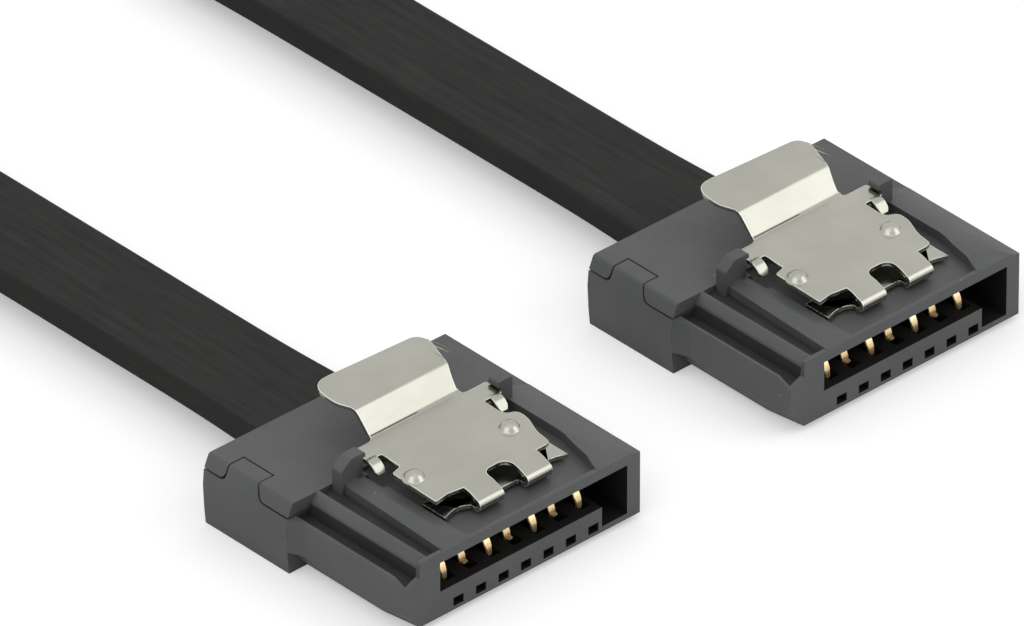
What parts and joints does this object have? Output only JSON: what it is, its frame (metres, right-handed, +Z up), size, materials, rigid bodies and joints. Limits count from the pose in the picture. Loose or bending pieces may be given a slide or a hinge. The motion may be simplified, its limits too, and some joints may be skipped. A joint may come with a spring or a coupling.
{
  "type": "sata data cable",
  "caption": "Flat black data cable with a slim keyed plug at each end, each with gold spring contacts and a bent steel latch with a thumb tab.",
  "frame": {"origin": "on the surface the cable lies on, midway between the two plugs' outer sides and at the middle of a plug's length", "axes": "+Z up, from the surface to the latches; +X from plug a to plug b; +Y from the mating faces towards the ribbon"},
  "size_m": [0.0356, 0.1554, 0.0056],
  "materials": {
    "nylon": "dark grey moulded nylon, fine satin texture",
    "spring_steel": "stamped stainless spring steel, satin",
    "gold_plate": "gold plated spring contact",
    "insulation": "off-white conductor insulation",
    "tinned_wire": "bare tinned copper wire",
    "resin": "dark inner moulding",
    "jacket": "black extruded jacket, satin"
  },
  "bodies": {
    "root": {"housing_a": "nylon", "cover_a": "nylon", "clamp_a": "resin", "contact_a1": "gold_plate", "contact_a2": "gold_plate", "contact_a3": "gold_plate", "contact_a4": "gold_plate", "contact_a5": "gold_plate", "contact_a6": "gold_plate", "contact_a7": "gold_plate", "core_a1": "insulation", "core_a2": "insulation", "core_a3": "insulation", "core_a4": "insulation", "drain_a1": "tinned_wire", "drain_a2": "tinned_wire", "drain_a3": "tinned_wire", "housing_b": "nylon", "cover_b": "nylon", "clamp_b": "resin", "contact_b1": "gold_plate", "contact_b2": "gold_plate", "contact_b3": "gold_plate", "contact_b4": "gold_plate", "contact_b5": "gold_plate", "contact_b6": "gold_plate", "contact_b7": "gold_plate", "core_b1": "insulation", "core_b2": "insulation", "core_b3": "insulation", "core_b4": "insulation", "drain_b1": "tinned_wire", "drain_b2": "tinned_wire", "drain_b3": "tinned_wire", "ribbon": "jacket"},
    "latch_a": {"latch_a": "spring_steel"},
    "latch_b": {"latch_b": "spring_steel"}
  },
  "joints": [
    {"name": "latch_a_press", "type": "hinge", "parent": "root", "child": "latch_a", "pos_m": [-0.0102, -0.00403, 0.00346], "axis": [-1, 0, 0], "range_deg": [0, 5.5], "stiffness_Nm_per_rad": 0.3},
    {"name": "latch_b_press", "type": "hinge", "parent": "root", "child": "latch_b", "pos_m": [0.01164, -0.00403, 0.00346], "axis": [-1, 0, 0], "range_deg": [0, 5.5], "stiffness_Nm_per_rad": 0.3}
  ]
}
